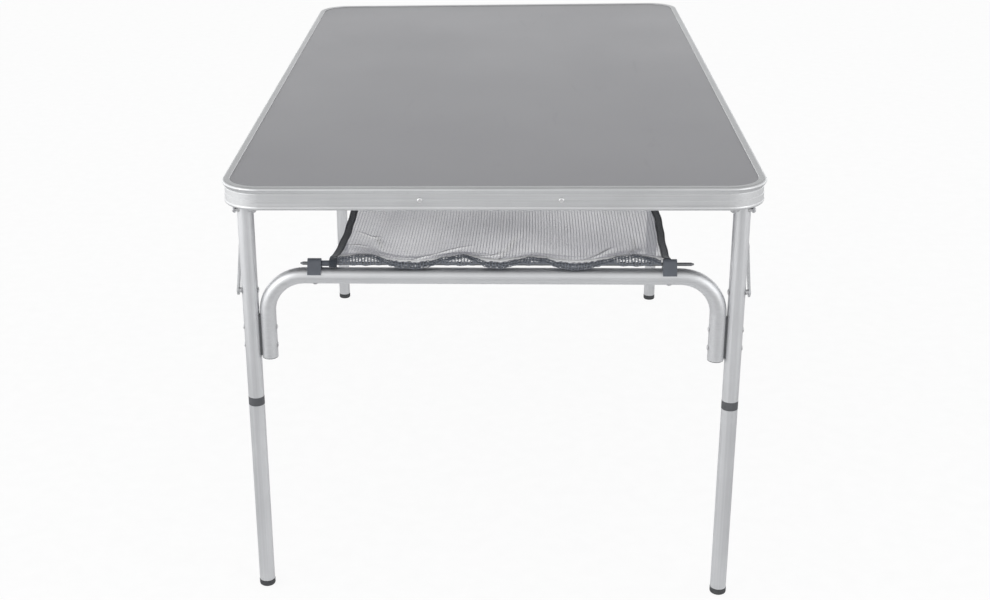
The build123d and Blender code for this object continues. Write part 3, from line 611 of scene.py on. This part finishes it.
def relax(end):
    """Hangs a coarse copy of the net from its hem, sides and middle, and returns its moves."""
    gx, gv = np.meshgrid(np.linspace(X0, X1, RELAX_X), np.linspace(0, 1, RELAX_V), indexing="ij")
    start = sheet_points(gx, gv, end)
    index = np.arange(gx.size).reshape(gx.shape)
    faces = np.stack([index[:-1, :-1], index[1:, :-1], index[1:, 1:], index[:-1, 1:]], -1)
    cloth = add_mesh("tmp_net_relax", start.reshape(-1, 3), faces.reshape(-1, 4),
                     MATERIALS["net_mesh"])
    group = cloth.vertex_groups.new(name="pin")
    pinned = (gv < PIN_BAND) | (gv > PIN_MIDDLE) | (gx < X0 + 1e-6) | (gx > X1 - 1e-6)
    for i in np.flatnonzero(pinned.ravel()):
        group.add([int(i)], 1.0, "REPLACE")
    modifier = cloth.modifiers.new("cloth", "CLOTH")
    settings = modifier.settings
    settings.quality = 6
    settings.mass = 0.12
    settings.tension_stiffness = 12
    settings.compression_stiffness = 12
    settings.shear_stiffness = 3
    settings.bending_stiffness = 0.35
    settings.air_damping = 4
    settings.vertex_group_mass = "pin"
    settings.shrink_min = -0.006              # a little larger than its frame, so it hangs slack
    settings.effector_weights.gravity = 0.35
    modifier.collision_settings.use_collision = False
    modifier.point_cache.frame_start = 1
    modifier.point_cache.frame_end = RELAX_FRAMES
    for k in range(1, RELAX_FRAMES + 1):
        scene.frame_set(k)
    evaluated = cloth.evaluated_get(bpy.context.evaluated_depsgraph_get())
    hung = np.zeros(gx.size * 3, np.float32)
    evaluated.data.vertices.foreach_get("co", hung)
    move = hung.reshape(start.shape).astype(float) - start
    for _ in range(10):                       # keep the broad sag, drop the small buckles
        wide = np.pad(move, ((1, 1), (1, 1), (0, 0)), mode="edge")
        around = wide[:-2, 1:-1] + wide[2:, 1:-1] + wide[1:-1, :-2] + wide[1:-1, 2:]
        move = 0.25 * move + 0.1875 * around
    scene.frame_set(1)
    bpy.data.objects.remove(cloth)
    length = np.linalg.norm(move, axis=2, keepdims=True)
    move *= np.minimum(1, RELAX_LIMIT / np.maximum(length, 1e-9))
    fade = np.clip((gv - PIN_BAND) / 0.10, 0, 1) * np.clip((PIN_MIDDLE - gv) / 0.15, 0, 1)
    return move * fade[..., None]


moves = {}                                    # one entry for each end, filled below
for end, _ in ENDS:
    moves[end] = relax(end)


def net_at(x, v, end):
    """Points of the net with the cloth's own sag added."""
    points = sheet_points(x, v, end)
    if end not in moves:
        return points
    move = moves[end]
    fx = np.clip((x - X0) / (X1 - X0), 0, 1) * (RELAX_X - 1)
    fv = np.clip(v, 0, 1) * (RELAX_V - 1)
    i = np.minimum(fx.astype(int), RELAX_X - 2)
    j = np.minimum(fv.astype(int), RELAX_V - 2)
    a, b = (fx - i)[..., None], (fv - j)[..., None]
    return points + (move[i, j] * (1 - a) * (1 - b) + move[i + 1, j] * a * (1 - b)
                     + move[i, j + 1] * (1 - a) * b + move[i + 1, j + 1] * a * b)


# ---------------------------------------------------------------- net
N_WARP = int(round((X1 - X0) / PITCH))
N_WEFT = 272
# warp threads take every 2nd weft crossing near the rod and every 4th beyond
WARP_STEPS = np.concatenate([np.arange(0, 60, 2), np.arange(60, N_WEFT + 1, 4)])


def sheet_normals(points):
    normals = unit(np.cross(np.gradient(points, axis=0), np.gradient(points, axis=1)))
    return np.where(normals[..., 2:3] < 0, -normals, normals)


def net_piece(name, first, last, end):
    """The net between two warp threads, from one rod to the middle of the table."""
    x = X0 + (X1 - X0) * np.arange(first, last + 1) / N_WARP
    gx, gv = np.meshgrid(x, np.linspace(0, 1, N_WEFT + 1), indexing="ij")
    points = net_at(gx, gv, end)
    normals = sheet_normals(points)
    warp = tubes(points[:, WARP_STEPS], normals[:, WARP_STEPS],
                 width=0.00085, thick=0.00055, section=DIAMOND)
    # weft threads zigzag from warp to warp, so that the openings are six-sided
    crossing = zigzag(np.transpose(points, (1, 0, 2)), share=0.22)
    weft = tubes(crossing[1:], np.transpose(normals, (1, 0, 2))[1:],
                 width=0.00080, thick=0.00050, section=TRIANGLE)
    verts, faces = join([warp, weft])
    net = add_mesh(name, verts, faces, MATERIALS["net_mesh"])
    # painted shadow along the creases
    crease_shade = painted_crease_shade(verts[:, 0], verts[:, 1])
    roll = np.clip((np.abs(verts[:, 1]) - 0.598) / 0.014, 0, 1)     # painted highlight, paler towards the rod
    # stored for the material: painted shade as positive, painted light as negative
    painted_shade_and_light = net.data.attributes.new("painted_shade_and_light", "FLOAT", "POINT")
    painted_shade_and_light.data.foreach_set("value", np.where(roll > crease_shade, -roll, crease_shade).astype(np.float32))
    return net


half = N_WARP // 2
pieces = []                                   # (object, name of its end, sign of its end)
for end, tag in ENDS:
    for first, last, side_name in ((0, half, "left"), (half, N_WARP, "right")):
        pieces.append((net_piece(f"net_{tag}_{side_name}", first, last, end), tag, end))


# ---------------------------------------------------------------- hems
# Sleeve section (outboard y, z), from the band's outer edge under the rod to its inner edge.
SLEEVE_DOWN = np.array([(0.6540, 0.5590), (0.6525, 0.5606), (0.6500, 0.5604), (0.6466, 0.5603),
                        (0.6425, 0.5608), (0.6398, 0.5632), (0.6400, 0.5665), (0.6430, 0.5686),
                        (0.6480, 0.5690), (0.6530, 0.5680)])
SLEEVE_UP = np.array([(0.6385, 0.5752), (0.6430, 0.5738), (0.6480, 0.5708), (0.6500, 0.5665),
                      (0.6492, 0.5625), (0.6455, 0.5606), (0.6415, 0.5618), (0.6375, 0.5655),
                      (0.6330, 0.5702), (0.6290, 0.5740)])
SLEEVE_POINTS = 12
BAND_ROWS = np.linspace(-0.06, 1.04, 6)       # shares of the band's width
BAND_OFFSET = 0.0009                          # of each layer from the band's middle


def even(points, count):
    run = run_length(points)
    return resample(points, run, np.linspace(0, run[-1], count))


def hem_weave(points, normals, first, rows, warp_width, share):
    """Threads across the hem from every 2nd station, and zigzag threads along it."""
    along = zigzag(np.transpose(points, (1, 0, 2)), share=share, every=2)
    return [tubes(points[first::2], normals[first::2],
                  width=warp_width, thick=0.0006, section=DIAMOND),
            tubes(along[rows], np.transpose(normals, (1, 0, 2))[rows],
                  width=0.0010, thick=0.0006, section=TRIANGLE)]


def hem_sleeve(x, lift, end):
    """The sleeve round the rod."""
    section = between(even(SLEEVE_DOWN, SLEEVE_POINTS)[None],
                      even(SLEEVE_UP, SLEEVE_POINTS)[None], lift[..., None])
    ripple = 0.0006 * np.sin(x * 310)[:, None] * np.sin(np.linspace(0, math.pi, SLEEVE_POINTS))
    points = np.stack([np.broadcast_to(x[:, None], section.shape[:2]),
                       section[..., 0] * end, section[..., 1] + ripple], -1)
    normals = points - np.array([0, end * Y_ROD, Z_ROD])
    normals[..., 0] = 0
    return hem_weave(points, unit(normals), first=0, rows=slice(1, -1),
                     warp_width=0.0013, share=0.15)


def hem_band(x, lift, end):
    """Points and normals of the band's two layers, the outboard or upper one first."""
    outer = between(DOWN[0], UP[0], lift)
    inner = between(DOWN[1], UP[1], lift)
    across = inner - outer
    out = unit(np.stack([-across[:, 1], across[:, 0]], -1))
    out *= np.where(between(out[:, 0:1], out[:, 1:2], lift) < 0, -1, 1)
    layers = []
    for layer, offset in enumerate((BAND_OFFSET, -BAND_OFFSET)):
        section = outer[:, None] + across[:, None] * BAND_ROWS[None, :, None]
        section = section + out[:, None] * offset
        crinkle = 0.0005 * np.sin(x * (240 + 60 * layer) + layer)[:, None]
        shifted = np.broadcast_to(x[:, None], section.shape[:2]) + layer * PITCH * 0.27
        points = np.stack([shifted, section[..., 0] * end, section[..., 1] + crinkle], -1)
        normals = np.stack([np.zeros_like(x), out[:, 0] * end, out[:, 1]], -1)[:, None]
        layers.append((points, np.broadcast_to(normals, points.shape)))
    return layers


def hem(tag, end):
    """The sleeve and the doubled, stitched band that joins it to the net."""
    box_lo, box_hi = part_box(tag + "_net_hem")
    x0, x1 = box_lo.x + 0.001, box_hi.x
    count = int(round((x1 - x0) / PITCH * 2))
    x = np.linspace(x0, x1, count + 1)
    lift = band_lift(x, end)[:, None]
    parts = hem_sleeve(x, lift, end)
    band = hem_band(x, lift, end)
    for layer, (points, normals) in enumerate(band):
        parts += hem_weave(points, normals, first=layer, rows=slice(None),
                           warp_width=0.0014, share=0.24)
    cloth = add_mesh(f"net_hem_{tag}", *join(parts), MATERIALS["net_hem_mesh"])
    # raised stitches on the first layer, near both edges of the band
    points, normals = band[0]
    stitches = []
    for row in (1, 4):
        line = points[:, row] + normals[:, row] * 0.0006
        stitches += [stitch(line, i, normals[i, row], span=(0.14, 0.86), count=5, rise=0.0004)
                     for i in range(1, count - 1)]
    seam = add_mesh(f"hem_stitches_{tag}", *join(stitches), MATERIALS["net_webbing"])
    return cloth, seam


for end, tag in ENDS:
    cloth, seam = hem(tag, end)
    for obj in (cloth, seam):
        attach(obj, tag + "_legs")
    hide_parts(tag + "_net_hem")


# ---------------------------------------------------------------- bindings
TAPE_WIDTH, TAPE_THICK = 0.0122, 0.0020
TAPE_OUTSET = 0.0045                          # of the tape's middle from the cloth's edge
TAPE_STEP = 0.0022                            # between sections along the tape
TAPE_POINTS = 14                              # steps across each face of the section
TAPE_RIB = 0.05                               # sections are thicker and thinner in turn
SEAM = 0.36                                   # place of each seam, in widths from the middle

# By side: the |y| where the tape leaves the net, and its (outboard y, z) points from there.
# The left tape curls over the rod.
TAPE_TAILS = {
    -1: (0.636, [(0.6420, 0.5704), (0.6455, 0.5711), (0.6490, 0.5700), (0.6508, 0.5672),
                 (0.6512, 0.5640), (0.6508, 0.5605)]),
    1: (0.622, [(0.6300, 0.5690), (0.6325, 0.5685)]),
}


def tape_section(side):
    """Closed flat section, rounded at its edges, thinner inwards and grooved at its seams."""
    top = []
    for i in range(TAPE_POINTS + 1):
        u = -0.5 + i / TAPE_POINTS
        height = 0.5 * (1 - abs(2 * u) ** 8 * 0.6)
        if side * u < -SEAM:
            height *= 0.80
        if abs(abs(u) - SEAM) < 0.03:
            height *= 0.72
        top.append((u, height))
    return np.array(top + [(u, -height) for u, height in top[::-1]])


def sweep_tape(name, centre, across, up, section):
    """The section swept along centre, closed at its ends. UV in metres."""
    n, k = len(centre), len(section)
    rib = 1 + TAPE_RIB * np.cos(np.arange(n) * math.pi)
    rings = (centre[:, None, :] + across[:, None, :] * (section[None, :, 0:1] * TAPE_WIDTH)
             + up[:, None, :] * (section[None, :, 1:2] * TAPE_THICK) * rib[:, None, None])
    uvs = np.stack([np.broadcast_to(section[:, 0] * TAPE_WIDTH, (n, k)),
                    np.broadcast_to(run_length(centre)[:, None], (n, k))], -1)
    index = np.arange(n * k).reshape(n, k)
    a, b = index[:-1], index[1:]
    quads = np.stack([a, np.roll(a, -1, axis=1), np.roll(b, -1, axis=1), b], -1).reshape(-1, 4)
    caps = [[index[0, c] for c in (j, k - 1 - j, k - 2 - j, j + 1)] for j in range(k // 2 - 1)]
    caps += [[index[-1, c] for c in (j + 1, k - 2 - j, k - 1 - j, j)] for j in range(k // 2 - 1)]
    return add_mesh(name, rings.reshape(-1, 3), np.vstack([quads, np.array(caps)]),
                    MATERIALS["net_webbing"], uvs.reshape(-1, 2))


def tape_path(x_edge, side, end):
    """The tape's middle line from the middle of the table to the rod, and the run along it."""
    v = np.concatenate([np.linspace(1.0, 0.16, 70), np.linspace(0.155, 0.0, 60)])
    path = net_at(np.full_like(v, x_edge), v, end)
    path[:, 0] += side * TAPE_OUTSET
    y_leave, tail = TAPE_TAILS[side]
    path = path[np.abs(path[:, 1]) < y_leave]
    path = np.vstack([path, [(path[-1, 0], y * end, z) for y, z in tail]])
    # even steps with soft corners
    run = run_length(path)
    at = np.arange(0, run[-1], TAPE_STEP)
    at = np.append(at[:-1], run[-1])
    path = resample(path, run, at)
    for _ in range(6):
        path[1:-1] = 0.25 * path[:-2] + 0.5 * path[1:-1] + 0.25 * path[2:]
    return path, at


def face_out(vectors, end):
    """Turns vectors to point up or outboard."""
    return vectors * np.where(vectors[:, 2:3] + vectors[:, 1:2] * end * 0.6 < 0, -1, 1)


def binding(name, x_edge, side, end):
    """Woven tape along the net's long edge, and the stitches in its two seams."""
    path, at = tape_path(x_edge, side, end)
    tangent = unit(np.gradient(path, axis=0))
    wobble = 0.0007 * np.sin(at * 31 + side) + 0.0004 * np.sin(at * 83 + end)
    path[:, 0] += wobble * np.clip((at[-1] - at) / 0.05, 0, 1)
    twist = 0.10 * np.sin(at * 17 + side * 2 + end)[:, None]
    across = np.tile(np.array([1.0, 0, 0]), (len(path), 1))
    up = unit(face_out(np.cross(tangent, across), end))
    across = across * np.cos(twist) + up * np.sin(twist)
    up = face_out(np.cross(across, tangent), end)
    tape = sweep_tape(name, path, across, up, tape_section(side))
    tape.data.shade_smooth()
    tape.data.set_sharp_from_angle(angle=math.radians(60))
    stitches = []
    for offset in (-SEAM, SEAM):
        line = path + across * (TAPE_WIDTH * offset) + up * (TAPE_THICK * 0.42)
        stitches += [stitch(line, i, up[i], span=(0.08, 1.5), count=4, rise=0.00035)
                     for i in range(1, len(line) - 2, 2)]
    seams = add_mesh(name + "_stitches", *join(stitches), MATERIALS["net_webbing"])
    return tape, seams


for end, tag in ENDS:
    for side, side_name, x_edge in ((-1, "left", X0), (1, "right", X1)):
        for obj in binding(f"net_binding_{tag}_{side_name}", x_edge, side, end):
            pieces.append((obj, tag, end))

# The net and tapes keep their places, baked into their meshes.
for obj, tag, end in pieces:
    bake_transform(obj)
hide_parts("storage_net")
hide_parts("net_binding_left")
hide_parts("net_binding_right")


# ---------------------------------------------------------------- floor
FLOOR_RADIUS, FLOOR_SIDES, FLOOR_Z = 40.0, 96, -0.0006


def floor_material():
    """Near white to the camera, a soft reflector to other rays, and clear from underneath."""
    m = Mat("floor")
    ray = m.new("LightPath")
    glow = m.new("Emission")
    m.put(glow.inputs["Color"], (1, 1, 1))
    grain = m.noise(scale=30.0, detail=3, rough=0.5)
    m.put(glow.inputs["Strength"], m.ramp(grain, to=(0.995, 1.01)))
    # the floor glows like a white card at far left, and more weakly at far right
    x = m.split(m.coords.outputs["Object"])["X"]
    card = m.ramp(x, to=(0.62, 0.0), over=(-2.4, -1.1))
    card = m.add(card, m.ramp(x, to=(0.0, 0.30), over=(1.1, 2.4)))
    # pale under the table, greyer away from it
    away = m.new("VectorMath", operation="LENGTH")
    m.put(away.inputs[0], m.coord((1.3, 0.8, 1)))
    colour = m.mix(m.ramp(away.outputs["Value"], over=(0.55, 1.15)),
                   (0.93, 0.93, 0.93), (0.60, 0.60, 0.605))
    m.set(Base_Color=colour, Roughness=0.9, Emission_Color=(1.0, 1.0, 1.0), Emission_Strength=card)
    pale = m.new("BsdfDiffuse")
    m.put(pale.inputs["Color"], (0.9, 0.9, 0.9))
    seen = m.mix_shader(0.92, pale.outputs[0], glow.outputs[0])
    camera_ray = ray.outputs["Is Camera Ray"]
    above = m.mix_shader(camera_ray, m.shader.outputs[0], seen)
    beneath = m.mul(m.new("NewGeometry").outputs["Backfacing"], camera_ray)
    surface = m.mix_shader(beneath, above, m.new("BsdfTransparent").outputs[0])
    m.put(m.tree.nodes["Material Output"].inputs["Surface"], surface)
    return m.material


def floor():
    angle = np.linspace(0, 2 * math.pi, FLOOR_SIDES, endpoint=False)
    rim = np.stack([FLOOR_RADIUS * np.cos(angle), FLOOR_RADIUS * np.sin(angle),
                    np.full(FLOOR_SIDES, FLOOR_Z)], -1)
    faces = [[0, 1 + i, 1 + (i + 1) % FLOOR_SIDES] for i in range(FLOOR_SIDES)]
    add_mesh("floor", np.vstack([[0, 0, FLOOR_Z], rim]), faces, floor_material())


floor()


# ---------------------------------------------------------------- world
def studio():
    """A soft studio, brightest at the left and low behind the table, and plain to the camera."""
    world = bpy.data.worlds.new("studio")
    scene.world = world
    world.use_nodes = True
    w = Nodes(world.node_tree)
    # Incoming is minus the direction looked in: y is high towards the camera side (-Y)
    x, y, z = w.split(w.new("NewGeometry").outputs["Incoming"])

    def soft(source, over, to):
        return w.ramp(source, to=to, over=over, interpolation_type="SMOOTHSTEP")

    far = soft(y, over=(-0.95, -0.20), to=(1.0, 0.0))        # 1 straight behind the table
    sky = soft(z, over=(-0.95, -0.25), to=(1.0, 0.0))        # 1 overhead
    left = soft(x, over=(0.35, 0.95), to=(0.0, 1.0))
    right = soft(x, over=(-0.95, -0.35), to=(1.0, 0.0))
    near = soft(y, over=(0.10, 0.55), to=(0.0, 1.0))         # 1 on the camera side
    low = soft(z, over=(-0.85, -0.45), to=(0.0, 1.0))        # 0 overhead
    tone = w.add(0.60, w.mul(sky, -0.12))
    tone = w.add(tone, w.mul(w.mul(near, low), 0.22))
    # behind the table: bright at the horizon, darker above it
    dusk = soft(z, over=(-0.34, -0.16), to=(-0.27, 0.85))
    tone = w.add(tone, w.mul(far, dusk))
    tone = w.add(tone, w.mul(left, 0.75))
    tone = w.add(tone, w.mul(right, 0.42))
    strength = w.blend(w.new("LightPath").outputs["Is Camera Ray"], tone, 1.02)
    background = w.tree.nodes["Background"]
    w.put(background.inputs["Color"], (0.985, 0.992, 1.0))
    w.put(background.inputs["Strength"], strength)


studio()


# ---------------------------------------------------------------- lights
def area(name, place, target, size, power, colour=(1, 1, 1)):
    """A rectangular light, size (width, height), turned to face its target."""
    light = bpy.data.lights.new(name, "AREA")
    light.energy = power
    light.color = colour
    light.shape = "RECTANGLE"
    light.size, light.size_y = size
    obj = bpy.data.objects.new(name, light)
    scene.collection.objects.link(obj)
    obj.location = place
    obj.rotation_mode = "QUATERNION"
    obj.rotation_quaternion = Vector(np.subtract(target, place)).to_track_quat("-Z", "Y")
    obj.visible_camera = False
    return obj


area("key_left", place=(-2.8, -3.0, 2.4), target=(0, 0, 0.4), size=(2.4, 2.6), power=24)
area("fill_right", place=(2.9, -2.6, 1.8), target=(0, 0, 0.4), size=(2.2, 2.4), power=13)
top_light = area("top", place=(0.0, -0.4, 3.6), target=(0, 0, 0.7), size=(3.0, 3.0), power=15,
                 colour=(0.97, 0.98, 1.0))
top_light.visible_glossy = False

# ---------------------------------------------------------------- camera
CAMERA_PLACE = (0.0211, -2.7915, 1.3584)
PITCH_DOWN, YAW, ROLL = (math.radians(a) for a in (21.632, 4.753, -1.473))


def turn_xy(angle):
    c, s = math.cos(angle), math.sin(angle)
    return np.array([[c, -s, 0], [s, c, 0], [0, 0, 1]])


def camera():
    data = bpy.data.cameras.new("camera")
    obj = bpy.data.objects.new("camera", data)
    scene.collection.objects.link(obj)
    data.sensor_width = 36.0
    data.lens = 55.28416
    data.shift_x = 0.1090655556
    data.shift_y = 0.00050505051
    data.clip_start = 0.05
    data.clip_end = 200
    # rows of view: the camera's right, down and forward directions in the world
    level = np.array([[1, 0, 0], [0, 0, -1], [0, 1, 0]])
    c, s = math.cos(PITCH_DOWN), math.sin(PITCH_DOWN)
    tilt = np.array([[1, 0, 0], [0, c, -s], [0, s, c]])
    right, down, forward = turn_xy(ROLL) @ tilt @ level @ turn_xy(-YAW)
    matrix = Matrix.Identity(4)
    for i in range(3):
        matrix[i] = (right[i], -down[i], -forward[i], CAMERA_PLACE[i])
    obj.matrix_world = matrix
    scene.camera = obj


camera()
scene.view_settings.view_transform = "Standard"
scene.view_settings.look = "None"

# ---------------------------------------------------------------- final update
bpy.context.view_layer.update()
